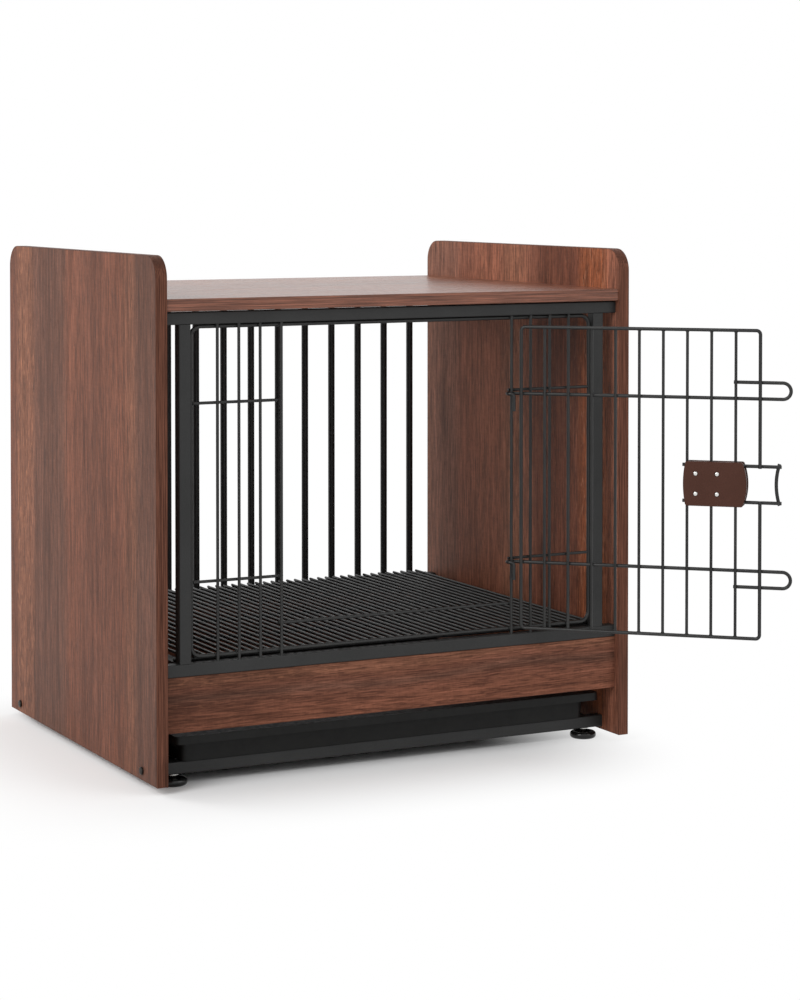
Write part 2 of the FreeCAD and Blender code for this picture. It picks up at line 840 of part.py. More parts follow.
def build():
    pieces = {}
    left_panel = left_side_panel()
    pieces["left_side_panel"] = left_panel
    pieces["right_side_panel"] = mirrored(left_panel)
    pieces["table_top"] = table_top()
    pieces["front_apron"] = apron(front_apron_y, front_apron_height, along_y)
    pieces["rear_apron"] = apron(rear_apron_y, rear_apron_height, vector(0, -1, 0))

    pieces["front_top_rail"] = cross_rail(front_face, top_rail_low)
    pieces["front_mid_rail"] = cross_rail(front_face, mid_rail_low)
    pieces["front_base_rail"] = base_rail(base_front)
    pieces["rear_top_rail"] = cross_rail(rear_front, top_rail_low)
    pieces["rear_mid_rail"] = cross_rail(rear_front, mid_rail_low)
    pieces["rear_base_rail"] = base_rail(base_rear)
    post = front_left_post()
    pieces["front_left_post"] = post
    pieces["front_right_post"] = mirrored(post)
    pieces["rear_bars"] = rear_bars()
    floor_rail = side_rail(post_left, front_back, rear_front, mid_rail_low)
    pieces["left_floor_rail"] = floor_rail
    pieces["right_floor_rail"] = mirrored(floor_rail)
    base_side = side_rail(base_left, base_front + tube, base_rear, base_height)
    pieces["left_base_rail"] = base_side
    pieces["right_base_rail"] = mirrored(base_side)

    pieces["gate_loop_wire"] = gate_loop()
    uprights = left_fixed_uprights()
    pieces["left_fixed_uprights"] = uprights
    pieces["right_fixed_uprights"] = [mirrored(wire) for wire in uprights]
    pieces["fixed_crossbars"] = fixed_crossbars()
    pieces["sill_wire"] = sill_wire()
    pieces["floor_grille_rods"] = floor_grille_rods()
    pieces["floor_grille_crossbars"] = floor_grille_crossbars()

    pieces["rail_end_plugs"] = rail_end_plugs()
    pieces["base_rail_nuts"] = base_rail_nuts()
    pieces["panel_bolts"] = panel_bolts()
    pieces["cam_locks"] = cam_locks()
    pieces["cam_bolts"] = cam_bolts()
    pieces["dowels"] = dowels()
    pieces["foot_nuts"] = foot_nuts()

    bars = [door_crossbar(upper_bar, True), door_crossbar(lower_bar, False)]
    pieces["door_frame_wire"] = swung(door_frame())
    pieces["door_uprights"] = [swung(wire) for wire in door_upright_wires()]
    pieces["door_crossbars"] = [swung(bar) for bar in bars]
    pieces["latch_rods"] = [swung(wire) for wire in latch_rods()]
    pieces["latch_bow"] = swung(latch_bow())
    pieces["latch_inner_plate"] = swung(latch_inner_plate())
    pieces["latch_outer_plate"] = swung(latch_outer_plate())
    pieces["latch_screws"] = [swung(screw) for screw in latch_screws()]

    pieces["tray"] = tray_body()
    for corner, (x, y) in foot_places.items():
        pieces["foot_pad_" + corner] = foot_pad(x, y)
        pieces["foot_stud_" + corner] = foot_stud(x, y)
    return pieces


def write(name, shape):
    solids = shape if isinstance(shape, list) else [shape]
    solid = solids[0] if len(solids) == 1 else Part.makeCompound(solids)
    placed = solid.copy()
    placed.translate(vector(-width / 2, -depth / 2, floor_gap))
    placed.exportStep(os.path.join("parts", name + ".step"))


os.makedirs("parts", exist_ok=True)
for piece_name, piece_shape in build().items():
    write(piece_name, piece_shape)
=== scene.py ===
import math
import bpy
import bmesh
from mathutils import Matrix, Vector


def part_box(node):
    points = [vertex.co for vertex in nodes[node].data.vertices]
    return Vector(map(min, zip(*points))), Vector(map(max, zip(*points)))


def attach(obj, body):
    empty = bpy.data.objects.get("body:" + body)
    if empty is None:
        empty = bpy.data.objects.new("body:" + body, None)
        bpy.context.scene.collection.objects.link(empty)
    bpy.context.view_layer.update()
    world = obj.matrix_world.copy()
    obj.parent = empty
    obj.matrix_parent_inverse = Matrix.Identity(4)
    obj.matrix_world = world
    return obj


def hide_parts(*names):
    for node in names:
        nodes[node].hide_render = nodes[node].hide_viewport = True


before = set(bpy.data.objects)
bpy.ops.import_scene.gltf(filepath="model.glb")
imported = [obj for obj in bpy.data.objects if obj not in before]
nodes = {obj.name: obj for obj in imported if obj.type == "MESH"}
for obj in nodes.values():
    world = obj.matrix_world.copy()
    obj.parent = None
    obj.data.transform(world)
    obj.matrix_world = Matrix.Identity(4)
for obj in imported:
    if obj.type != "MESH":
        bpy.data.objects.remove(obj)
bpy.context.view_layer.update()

print("frame loaded:", len(nodes), "nodes")


# camera and light

camera = {
    "place": (-1.4579, -3.0905, 0.7300),
    "turn": 27.216,          # degrees to the right of straight ahead
    "tilt": 1.591,           # degrees down
    "lens": 92.865,
    "sensor": 36,
    "shiftY": -0.25,
    "clipEnd": 60,
}
light = {
    "aim": (0.0, 0.0, 0.3),
    "ambient": 0.62,         # strength of the world's light on the object
    "background": 1.0,       # its strength where it is seen, as plain white
}
# place, diameter and power of each lamp, and whether glossy surfaces mirror it
lamps = {
    "keyLamp": ((-3.9, -1.7, 2.6), 2.6, 112.0, True),
    "fillLamp": ((2.4, -3.2, 2.2), 3.0, 20.0, True),
    "rearLamp": ((-2.4, 3.4, 1.5), 2.2, 75.0, False),
}


def makeCamera():
    data = bpy.data.cameras.new("camera")
    data.lens = camera["lens"]
    data.sensor_width = camera["sensor"]
    data.shift_y = camera["shiftY"]
    data.clip_end = camera["clipEnd"]
    holder = bpy.data.objects.new("camera", data)
    holder.location = camera["place"]
    holder.rotation_euler = (math.radians(90 - camera["tilt"]), 0, -math.radians(camera["turn"]))
    bpy.context.scene.collection.objects.link(holder)
    bpy.context.scene.camera = holder


def softLamp(name, place, size, power, mirrored):
    data = bpy.data.lights.new(name, "AREA")
    data.shape = "DISK"
    data.size = size
    data.energy = power
    lamp = bpy.data.objects.new(name, data)
    lamp.location = place
    lamp.visible_glossy = mirrored
    towards = Vector(light["aim"]) - Vector(place)
    lamp.rotation_euler = towards.to_track_quat("-Z", "Y").to_euler()
    bpy.context.scene.collection.objects.link(lamp)


def whiteRays(tree):
    # 1 for the rays that see the plain white surroundings: the camera's, mirrored and refracted
    path = tree.nodes.new("ShaderNodeLightPath")
    seen = path.outputs["Is Camera Ray"]
    for label in ("Is Glossy Ray", "Is Transmission Ray"):
        either = tree.nodes.new("ShaderNodeMath")
        either.operation = "MAXIMUM"
        tree.links.new(seen, either.inputs[0])
        tree.links.new(path.outputs[label], either.inputs[1])
        seen = either.outputs[0]
    return seen


def makeWorld():
    world = bpy.data.worlds.new("studio")
    bpy.context.scene.world = world
    world.use_nodes = True
    tree = world.node_tree
    tree.nodes.clear()
    shades = []
    for strength in (light["ambient"], light["background"]):
        shade = tree.nodes.new("ShaderNodeBackground")
        shade.inputs["Color"].default_value = (1, 1, 1, 1)
        shade.inputs["Strength"].default_value = strength
        shades.append(shade.outputs[0])
    mix = tree.nodes.new("ShaderNodeMixShader")
    for source, socket in zip([whiteRays(tree)] + shades, mix.inputs):
        tree.links.new(source, socket)
    output = tree.nodes.new("ShaderNodeOutputWorld")
    tree.links.new(mix.outputs[0], output.inputs["Surface"])


makeCamera()
for name, (place, size, power, mirrored) in lamps.items():
    softLamp(name, place, size, power, mirrored)
makeWorld()
bpy.context.scene.view_settings.view_transform = "Standard"
print("camera and light set")


# materials

class Shader:
    # short ways to add and join a material's nodes
    def __init__(self, name):
        self.material = bpy.data.materials.new(name)
        self.material.use_nodes = True
        self.tree = self.material.node_tree
        self.surface = self.tree.nodes["Principled BSDF"]

    def add(self, kind, **settings):
        node = self.tree.nodes.new(kind)
        for key, value in settings.items():
            setattr(node, key, value)
        return node

    def give(self, value, socket):
        if isinstance(value, bpy.types.NodeSocket):
            self.tree.links.new(value, socket)
        else:
            socket.default_value = value

    def finish(self, **values):
        for key, value in values.items():
            label = {"colour": "Base Color", "rough": "Roughness", "normal": "Normal",
                     "specular": "Specular IOR Level", "metal": "Metallic"}[key]
            self.give(value, self.surface.inputs[label])
        return self.material

    def place(self):
        return self.add("ShaderNodeTexCoord").outputs["Object"]

    def facing(self):
        return self.add("ShaderNodeTexCoord").outputs["Normal"]

    def split(self, vector):
        node = self.add("ShaderNodeSeparateXYZ")
        self.give(vector, node.inputs[0])
        return list(node.outputs)

    def joined(self, x, y, z):
        node = self.add("ShaderNodeCombineXYZ")
        for value, socket in zip((x, y, z), node.inputs):
            self.give(value, socket)
        return node.outputs[0]

    def vector(self, operation, first, second=(0, 0, 0)):
        node = self.add("ShaderNodeVectorMath", operation=operation)
        self.give(first, node.inputs[0])
        self.give(second, node.inputs[1])
        return node.outputs["Value" if operation == "LENGTH" else "Vector"]

    def noise(self, vector, scale, detail, rough, stretch=(1, 1, 1), distort=0.0):
        # scale is in cells to the metre, and a stretch under 1 draws the cells out that way
        if stretch != (1, 1, 1):
            vector = self.vector("MULTIPLY", vector, stretch)
        node = self.add("ShaderNodeTexNoise")
        node.inputs["Scale"].default_value = scale
        node.inputs["Detail"].default_value = detail
        node.inputs["Roughness"].default_value = rough
        node.inputs["Distortion"].default_value = distort
        self.give(vector, node.inputs["Vector"])
        return node.outputs["Fac"]

    def ramp(self, value, stops):
        # stops of (place, grey) or (place, colour, alpha)
        node = self.add("ShaderNodeValToRGB")
        elements = node.color_ramp.elements
        while len(elements) < len(stops):
            elements.new(0.5)
        for element, stop in zip(elements, stops):
            shade = stop[1]
            if isinstance(shade, (int, float)):
                shade = (shade, shade, shade)
            element.position = stop[0]
            element.color = (*shade, stop[2] if len(stop) > 2 else 1)
        self.give(value, node.inputs["Fac"])
        return node.outputs

    def grey(self, value, stops):
        return self.ramp(value, stops)["Color"]

    def mixed(self, share, first, second, blend="MIX"):
        node = self.add("ShaderNodeMix", data_type="RGBA", blend_type=blend)
        self.give(share, node.inputs[0])
        for value, socket in ((first, node.inputs[6]), (second, node.inputs[7])):
            self.give((*value, 1) if isinstance(value, tuple) else value, socket)
        return node.outputs[2]

    def math(self, operation, first, second=0.0):
        node = self.add("ShaderNodeMath", operation=operation)
        for value, socket in zip((first, second), node.inputs):
            self.give(value, socket)
        return node.outputs[0]

    def ranged(self, value, low, high, start=0.0, end=1.0):
        node = self.add("ShaderNodeMapRange")
        node.inputs["From Min"].default_value = start
        node.inputs["From Max"].default_value = end
        node.inputs["To Min"].default_value = low
        node.inputs["To Max"].default_value = high
        self.give(value, node.inputs["Value"])
        return node.outputs["Result"]

    def bump(self, height, distance):
        node = self.add("ShaderNodeBump")
        node.inputs["Distance"].default_value = distance
        self.give(height, node.inputs["Height"])
        return node.outputs["Normal"]


noiseSpan = (0.3, 0.7)       # nearly all of a noise's values lie in it

tones = {
    "umber": (0.105, 0.038, 0.023),
    "ash": (0.122, 0.055, 0.037),
    "middle": (0.150, 0.059, 0.037),
    "warm": (0.165, 0.063, 0.038),
    "rust": (0.205, 0.086, 0.052),
    "flame": (0.235, 0.074, 0.033),
    "fleck": (0.400, 0.170, 0.095),
    "pore": (0.040, 0.016, 0.011),
}
walnut = {
    "sway": 0.034,               # how far the bands wander, in metres
    "runShift": 3.7,             # what the seed counts for along the grain
    "throughScale": 1.6,         # the pattern changes faster through the board
    "endFacing": 0.7,            # how squarely a face looks along the grain to be an end
    "edgeFacing": (0.55, 0.85),  # and sideways, from no edge to all edge
    "roughness": (0.42, 0.60),
    "specular": 0.08,
    "fineRelief": 0.6,           # against the pores' depth
    "pits": 0.00010,
}
# cells to the metre, detail, roughness, stretch across, through and along the grain, distortion
grainNoise = {
    "wander": (1.0, 2, 0.5, (3.0, 1.0, 2.4)),
    "cloud": (14.0, 3, 0.6, (1, 1, 0.22)),
    "streaks": (130.0, 3, 0.6, (1, 1, 0.04)),
    "fine": (480.0, 3, 0.7, (1, 1, 0.045)),
    "pores": (900.0, 1, 0.5, (1, 1, 0.07)),
    "chatter": (240.0, 2, 0.6, (0.35, 1, 1.4)),
    "flecks": (260.0, 3, 0.6, (1, 1, 0.20), 0.8),
    "marks": (260.0, 3, 0.6, (1, 1.3, 0.16), 0.5),
    "edgeStreaks": (620.0, 3, 0.7, (1, 1, 0.02)),
}
# what the noise multiplies the colour by
grainGains = {
    "cloud": [(0.30, 0.84), (0.70, 1.14)],
    "streaks": [(0.34, 0.76), (0.49, 1.0), (0.65, 1.20)],
    "fine": [(0.35, 0.58), (0.50, 1.0), (0.65, 1.46)],
    "chatter": [(0.35, 0.94), (0.65, 1.06)],
    "edgeStreaks": [(0.36, 0.44), (0.50, 0.98), (0.64, 1.70)],
}
# where the noise shows another tone, that tone, and how strongly
grainMarks = {
    "flecks": ([(0.54, 0.0), (0.68, 1.0)], "fleck", 0.70),
    "marks": ([(0.30, 1.0), (0.42, 0.0)], "pore", 0.55),
    "pores": ([(0.57, 0.0), (0.67, 1.0)], "pore", 0.50),
    "seam": ([(0.10, 0.0), (0.35, 1.0), (0.80, 1.0), (0.97, 0.0)], "pore", 0.45),
}
# place, tone, share of flecks and gain across the board, from its low edge to its high edge; the
# gain is partly the board's own tone and partly painted light, set higher on the inner faces for
# the light the table top throws on them
bands = {
    "outer": [(0.0, "ash", 0.0, 0.80), (0.11, "ash", 0.1, 0.80), (0.14, "rust", 0.3, 0.70),
              (0.22, "warm", 0.1, 0.76), (0.42, "middle", 0.1, 0.80), (0.56, "warm", 0.1, 0.82),
              (0.61, "ash", 0.0, 0.84), (0.80, "ash", 0.0, 0.80), (0.83, "rust", 0.8, 0.76),
              (0.93, "rust", 1.0, 0.82), (0.955, "middle", 0.2, 0.85),
              (1.0, "middle", 0.1, 0.85)],
    # the inner faces are painted lighter than the outer ones: painted light, standing in for
    # light thrown on them from the table top
    "inner": [(0.0, "middle", 0.1, 1.2), (0.05, "warm", 0.3, 1.3), (0.08, "flame", 0.9, 0.9),
              (0.17, "flame", 1.0, 0.9), (0.205, "umber", 0.3, 1.2), (0.36, "umber", 0.2, 1.1),
              (0.42, "middle", 0.2, 1.3), (0.50, "rust", 0.8, 1.1), (0.55, "rust", 0.6, 1.1),
              (0.60, "warm", 0.2, 1.3), (0.70, "warm", 0.5, 1.35), (0.80, "middle", 0.1, 1.4),
              (0.84, "ash", 0.0, 1.55), (1.0, "ash", 0.0, 1.6)],
    "flat": [(0.0, "warm", 0.1, 1.35), (0.2, "middle", 0.2, 1.4), (0.4, "warm", 0.1, 1.35),
             (0.55, "ash", 0.0, 1.5), (0.7, "middle", 0.2, 1.4), (0.85, "rust", 0.3, 1.2),
             (1.0, "warm", 0.1, 1.35)],
    "apron": [(0.0, "warm", 0.2, 1.1), (0.25, "warm", 0.1, 1.15), (0.5, "middle", 0.2, 1.15),
              (0.62, "ash", 0.0, 1.2), (0.78, "middle", 0.1, 1.2), (0.9, "rust", 0.4, 1.0),
              (1.0, "rust", 0.2, 1.0)],
}
# gain along the grain, for boards that are darker at one end; on the front apron this is a
# painted shadow, darkest at its left end where the left board shades it
lengthwise = {
    "upright": [(0.0, 0.95), (0.25, 1.0), (0.7, 1.04), (1.0, 1.08)],
    "level": [(0.0, 0.98), (1.0, 1.0)],
    # painted shadow of the left board across the apron's left end
    "apron": [(0.0, 0.66), (0.16, 0.70), (0.40, 0.92), (1.0, 1.07)],
}


def walnutBoard(name, node, axes, lowSide, highSide, length, seed, edgeTone=0.85, gloss=0.0):
    # laminate printed and embossed as walnut; axes are across the grain, through the board and
    # along the grain, and each of the board's two faces has its own bands
    shader = Shader(name)
    across, through, along = axes
    low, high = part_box(node)
    where = shader.split(shader.place())
    facing = shader.split(shader.facing())
    squarely = [shader.math("ABSOLUTE", part) for part in facing]
    highFace = shader.math("GREATER_THAN", facing[through], 0.0)
    endEdge = shader.math("GREATER_THAN", squarely[along], walnut["endFacing"])
    rim = shader.math("MAXIMUM", squarely[across], squarely[along])
    edge = shader.ranged(rim, 0.0, 1.0, *walnut["edgeFacing"])

    # on the board's ends the grain runs across instead
    side = shader.math("ADD", where[across], seed)
    run = shader.math("ADD", where[along], seed * walnut["runShift"])
    swap = shader.math("MULTIPLY", endEdge, shader.math("SUBTRACT", run, side))
    grainSide = shader.math("ADD", side, swap)
    grainRun = shader.math("SUBTRACT", shader.math("ADD", side, run), grainSide)
    grainDepth = shader.math("MULTIPLY", where[through], walnut["throughScale"])
    grain = shader.joined(grainSide, grainDepth, grainRun)
    noise = {key: shader.noise(grain, *layer) for key, layer in grainNoise.items()}

    sway = shader.math("MULTIPLY", shader.math("SUBTRACT", noise["wander"], 0.5), walnut["sway"])
    profile = shader.ranged(shader.math("ADD", where[across], sway), 0.0, 1.0,
                            low[across], high[across])

    def banded(key):
        # each stop's tone times its gain, which on the inner faces includes painted light
        stops = [(place, tuple(gain * part for part in tones[tone]), fleck)
                 for place, tone, fleck, gain in bands[key]]
        return shader.ramp(profile, stops)

    def gained(colour, gain):
        return shader.mixed(1.0, colour, gain, "MULTIPLY")

    def marked(colour, mask, key):
        stops, tone, strength = grainMarks[key]
        return shader.mixed(shader.math("MULTIPLY", mask, strength), colour, tones[tone])

    first, second = banded(lowSide), banded(highSide)
    tone = shader.mixed(highFace, first["Color"], second["Color"])
    change = shader.math("SUBTRACT", second["Alpha"], first["Alpha"])
    figured = shader.math("ADD", first["Alpha"], shader.math("MULTIPLY", highFace, change))

    # darker towards one end along the grain; on the front apron this is the painted shadow of the
    # left board
    ends = shader.ranged(where[along], 0.0, 1.0, low[along], high[along])
    colour = gained(tone, shader.grey(ends, lengthwise[length]))
    for key in ("cloud", "streaks", "fine", "chatter"):
        colour = gained(colour, shader.grey(noise[key], grainGains[key]))

    # short bright flecks and dark marks in the figured bands, and pores everywhere
    for key in ("flecks", "marks"):
        mask = shader.grey(noise[key], grainMarks[key][0])
        colour = marked(colour, shader.math("MULTIPLY", mask, figured), key)
    pores = shader.grey(noise["pores"], grainMarks["pores"][0])
    colour = marked(colour, pores, "pores")

    # banded edges are streakier and a little darker, with a fine dark line where they begin
    edgeGain = [(place, gain * edgeTone) for place, gain in grainGains["edgeStreaks"]]
    banding = gained(tones["middle"], shader.grey(noise["edgeStreaks"], edgeGain))
    colour = shader.mixed(edge, colour, banding)
    colour = marked(colour, shader.grey(rim, grainMarks["seam"][0]), "seam")

    rough = [level - gloss for level in walnut["roughness"]]
    relief = shader.math("SUBTRACT", shader.math("MULTIPLY", noise["fine"], walnut["fineRelief"]),
                         pores)
    return shader.finish(colour=colour, specular=walnut["specular"] + gloss,
                         rough=shader.ranged(noise["fine"], *rough, *noiseSpan),
                         normal=shader.bump(relief, walnut["pits"]))


coat = {
    "cloud": (14.0, 3, 0.6),             # cells to the metre, detail, roughness
    "cloudMask": [(0.35, 0.0), (0.65, 1.0)],
    "peel": (520.0, 2, 0.5),
    "peelDepth": 0.00004,
    "grains": (2200.0, 1, 0.5),
    "grainMask": [(0.62, 0.0), (0.72, 1.0)],
    "grainShare": 0.35,
    "grainGain": 3,                      # of the paler colour
    "grainRise": 0.25,
    "specular": 0.34,
}


def powderCoat(name, colour, paler, rough):
    # satin black powder coat with a slight orange peel and a few coarser grains
    shader = Shader(name)
    place = shader.place()
    cloud = shader.grey(shader.noise(place, *coat["cloud"]), coat["cloudMask"])
    peel = shader.noise(place, *coat["peel"])
    grains = shader.grey(shader.noise(place, *coat["grains"]), coat["grainMask"])
    shade = shader.mixed(cloud, colour, paler)
    shade = shader.mixed(shader.math("MULTIPLY", grains, coat["grainShare"]), shade,
                         tuple(coat["grainGain"] * part for part in paler))
    relief = shader.math("ADD", peel, shader.math("MULTIPLY", grains, coat["grainRise"]))
    return shader.finish(colour=shade, specular=coat["specular"],
                         rough=shader.ranged(peel, *rough, *noiseSpan),
                         normal=shader.bump(relief, coat["peelDepth"]))


moulding = {
    "cloud": (22.0, 3, 0.6),
    "cloudMask": [(0.3, 0.0), (0.7, 1.0)],
    "polish": (160.0, 3, 0.5),
}


def mouldedPlastic(name, colour, paler, rough, grainScale, grainDepth, specular):
    # moulded plastic with a fine spark-eroded grain
    shader = Shader(name)
    place = shader.place()
    cloud = shader.grey(shader.noise(place, *moulding["cloud"]), moulding["cloudMask"])
    cells = shader.add("ShaderNodeTexVoronoi", feature="SMOOTH_F1")
    cells.inputs["Scale"].default_value = grainScale
    shader.give(place, cells.inputs["Vector"])
    polish = shader.noise(place, *moulding["polish"])
    return shader.finish(colour=shader.mixed(cloud, colour, paler), specular=specular,
                         rough=shader.ranged(polish, *rough, *noiseSpan),
                         normal=shader.bump(cells.outputs["Distance"], grainDepth))


plating = {
    "patches": (300.0, 3, 0.6),
    "scratches": (2400.0, 3, 0.6, (1, 1, 0.2)),
    "scratchDepth": 0.00001,
}


def platedMetal(name, colour, paler, rough):
    # plated fastener with faint turning marks and dull patches
    shader = Shader(name)
    place = shader.place()
    patches = shader.noise(place, *plating["patches"])
    scratches = shader.noise(place, *plating["scratches"])
    return shader.finish(colour=shader.mixed(patches, colour, paler), metal=1.0,
                         rough=shader.ranged(scratches, *rough, *noiseSpan),
                         normal=shader.bump(scratches, plating["scratchDepth"]))


beech = {
    "dark": (0.42, 0.26, 0.14),
    "pale": (0.60, 0.41, 0.24),
    "fleck": (0.30, 0.17, 0.09),
    "rings": (500.0, 3, 0.6, (0.08, 1, 1)),
    "flecks": (1400.0, 2, 0.5, (0.15, 1, 1)),
    "fleckMask": [(0.60, 0.0), (0.72, 0.6)],
    "roughness": (0.60, 0.78),
    "fleckDepth": 0.00004,
}


def rawBeech(name):
    # turned dowel of pale wood with short flecks along its length
    shader = Shader(name)
    place = shader.place()
    rings = shader.noise(place, *beech["rings"])
    flecks = shader.noise(place, *beech["flecks"])
    tone = shader.mixed(rings, beech["dark"], beech["pale"])
    mask = shader.grey(flecks, beech["fleckMask"])
    return shader.finish(colour=shader.mixed(mask, tone, beech["fleck"]),
                         rough=shader.ranged(rings, *beech["roughness"]),
                         normal=shader.bump(flecks, beech["fleckDepth"]))


sideAxes = (1, 0, 2)         # across the grain, through the board, along the grain
topAxes = (1, 2, 0)
apronAxes = (2, 1, 0)
finishes = {
    "leftBoard": walnutBoard("leftWalnut", "left_side_panel", sideAxes,
                             "outer", "inner", "upright", seed=0.31, edgeTone=0.70),
    "rightBoard": walnutBoard("rightWalnut", "right_side_panel", sideAxes,
                              "inner", "outer", "upright", seed=2.47),
    "topBoard": walnutBoard("topWalnut", "table_top", topAxes,
                            "flat", "flat", "level", seed=5.13, edgeTone=1.15, gloss=0.23),
    "frontApron": walnutBoard("frontApronWalnut", "front_apron", apronAxes,
                              "apron", "flat", "apron", seed=7.7),
    "rearApron": walnutBoard("rearApronWalnut", "rear_apron", apronAxes,
                             "flat", "apron", "level", seed=9.2),
    "steel": powderCoat("frameCoat", (0.0140, 0.0142, 0.0140), (0.0190, 0.0192, 0.0190),
                        rough=(0.42, 0.56)),
    "wire": powderCoat("wireCoat", (0.0110, 0.0110, 0.0108), (0.0170, 0.0170, 0.0165),
                       rough=(0.30, 0.44)),
    "blackPlastic": mouldedPlastic("trayPlastic", (0.0045, 0.0045, 0.0042),
                                   (0.0075, 0.0075, 0.0070), rough=(0.42, 0.58),
                                   grainScale=900.0, grainDepth=0.00005, specular=0.20),
    "footPlastic": mouldedPlastic("footPlastic", (0.0040, 0.0040, 0.0040),
                                  (0.0070, 0.0070, 0.0070), rough=(0.14, 0.26),
                                  grainScale=1500.0, grainDepth=0.00001, specular=0.40),
    "latchPlastic": mouldedPlastic("latchPlastic", (0.054, 0.018, 0.010),
                                   (0.066, 0.023, 0.014), rough=(0.32, 0.46),
                                   grainScale=1300.0, grainDepth=0.00003, specular=0.18),
    "zinc": platedMetal("zincPlate", (0.62, 0.62, 0.60), (0.78, 0.78, 0.75),
                        rough=(0.22, 0.42)),
    "darkBolt": platedMetal("darkPlate", (0.020, 0.018, 0.016), (0.038, 0.035, 0.032),
                            rough=(0.32, 0.50)),
    "beech": rawBeech("rawBeech"),
}
print("materials made:", len(finishes))

nodeFinish = {
    "left_side_panel": "leftBoard", "right_side_panel": "rightBoard", "table_top": "topBoard",
    "front_apron": "frontApron", "rear_apron": "rearApron",
    "gate_loop_wire": "wire", "left_fixed_uprights": "wire", "right_fixed_uprights": "wire",
    "fixed_crossbars": "wire", "sill_wire": "wire", "floor_grille_rods": "wire",
    "floor_grille_crossbars": "wire", "door_frame_wire": "wire", "door_uprights": "wire",
    "door_crossbars": "wire", "latch_rods": "wire", "latch_bow": "wire",
    "latch_inner_plate": "latchPlastic", "latch_outer_plate": "latchPlastic",
    "latch_screws": "zinc", "tray": "blackPlastic", "rail_end_plugs": "blackPlastic",
    "base_rail_nuts": "zinc", "panel_bolts": "darkBolt", "cam_locks": "zinc",
    "cam_bolts": "zinc", "dowels": "beech", "foot_nuts": "zinc",
}
corners = ("front_left", "front_right", "rear_left", "rear_right")
for corner in corners:
    nodeFinish["foot_pad_" + corner] = "footPlastic"
    nodeFinish["foot_stud_" + corner] = "darkBolt"
for name, holder in nodes.items():
    holder.data.materials.clear()
    holder.data.materials.append(finishes[nodeFinish.get(name, "steel")])
print("finishes given to the CAD nodes")


# pieces built from the places of the CAD parts

world = (Vector((1, 0, 0)), Vector((0, 1, 0)), Vector((0, 0, 1)))
doorRun = Vector((0.731354, -0.681998, 0))     # from the hinge along the door, which stands open
doorway = (doorRun, Vector((doorRun.y, -doorRun.x, 0)), world[2])
sameVertex = 0.00001         # metres between the corners of loose triangles that meet
touching = 0.001
sharpAngle = 38              # degrees from which an edge isn't smoothed


def islands(node, axes=world):
    # low and high corner of each connected part of a node, measured along the given axes
    work = bmesh.new()
    work.from_mesh(nodes[node].data)
    bmesh.ops.remove_doubles(work, verts=work.verts, dist=sameVertex)
    seen = set()
    boxes = []
    for first in work.verts:
        if first in seen:
            continue
        seen.add(first)
        waiting, found = [first], []
        while waiting:
            vert = waiting.pop()
            found.append(vert.co)
            for edge in vert.link_edges:
                other = edge.other_vert(vert)
                if other not in seen:
                    seen.add(other)
                    waiting.append(other)
        boxes.append([[pick(place.dot(axis) for place in found) for axis in axes]
                      for pick in (min, max)])
    work.free()
    return boxes


def middle(box, way):
    return (box[0][way] + box[1][way]) / 2


def radius(box):
    # of an upright wire or bar
    return (box[1][0] - box[0][0]) / 2


def placed(axes, x, y, z):
    return axes[0] * x + axes[1] * y + axes[2] * z


def runs(box, wire):
    # the two upright and the two level runs of a loop of wire
    (x0, y0, z0), (x1, y1, z1) = box
    upright = [[[x0, y0, z0], [x0 + wire, y1, z1]], [[x1 - wire, y0, z0], [x1, y1, z1]]]
    level = [[[x0, y0, z0], [x1, y1, z0 + wire]], [[x0, y0, z1 - wire], [x1, y1, z1]]]
    return upright, level


